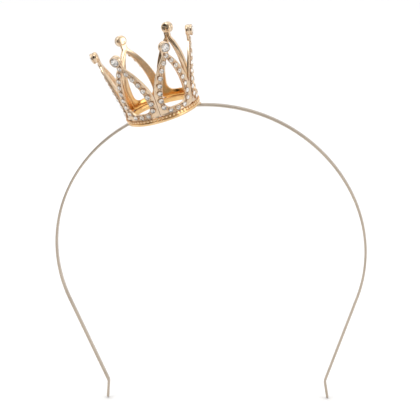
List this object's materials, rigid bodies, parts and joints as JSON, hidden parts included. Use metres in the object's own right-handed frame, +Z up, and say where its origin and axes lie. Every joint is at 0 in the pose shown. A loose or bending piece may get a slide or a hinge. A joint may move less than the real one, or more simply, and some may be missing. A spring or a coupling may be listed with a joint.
{
  "type": "crown headband",
  "caption": "Open crown of pointed jewelled loops on a beaded base ring, soldered off-centre on a thin sprung metal hair band.",
  "frame": {"origin": "centre of the space for the head, in the middle plane of the band and level with its widest place", "axes": "+Z up, from the band's open ends to its top; the band lies in the XZ plane; +Y towards the back, with the crown leaning to -X"},
  "size_m": [0.1412, 0.044, 0.178],
  "materials": {
    "band_metal": "satin, champagne-toned plating",
    "crown_gold": "polished warm gold plating",
    "solder": "satin gold-plated solder",
    "small_stones": "clear cut crystal with a silvered back",
    "cup_stones": "clear cut crystal with a silvered back"
  },
  "bodies": {
    "root": {"headband": "band_metal", "base_ring": "crown_gold", "solder_left": "solder", "solder_right": "solder", "loop_1": "crown_gold", "loop_2": "crown_gold", "loop_3": "crown_gold", "loop_4": "crown_gold", "loop_5": "crown_gold", "loop_6": "crown_gold", "loop_stones_1": "small_stones", "loop_stones_2": "small_stones", "loop_stones_3": "small_stones", "loop_stones_4": "small_stones", "loop_stones_5": "small_stones", "loop_stones_6": "small_stones", "cup_stone_1": "cup_stones", "cup_stone_2": "cup_stones", "cup_stone_3": "cup_stones", "cup_stone_4": "cup_stones", "cup_stone_5": "cup_stones", "cup_stone_6": "cup_stones"}
  },
  "joints": []
}
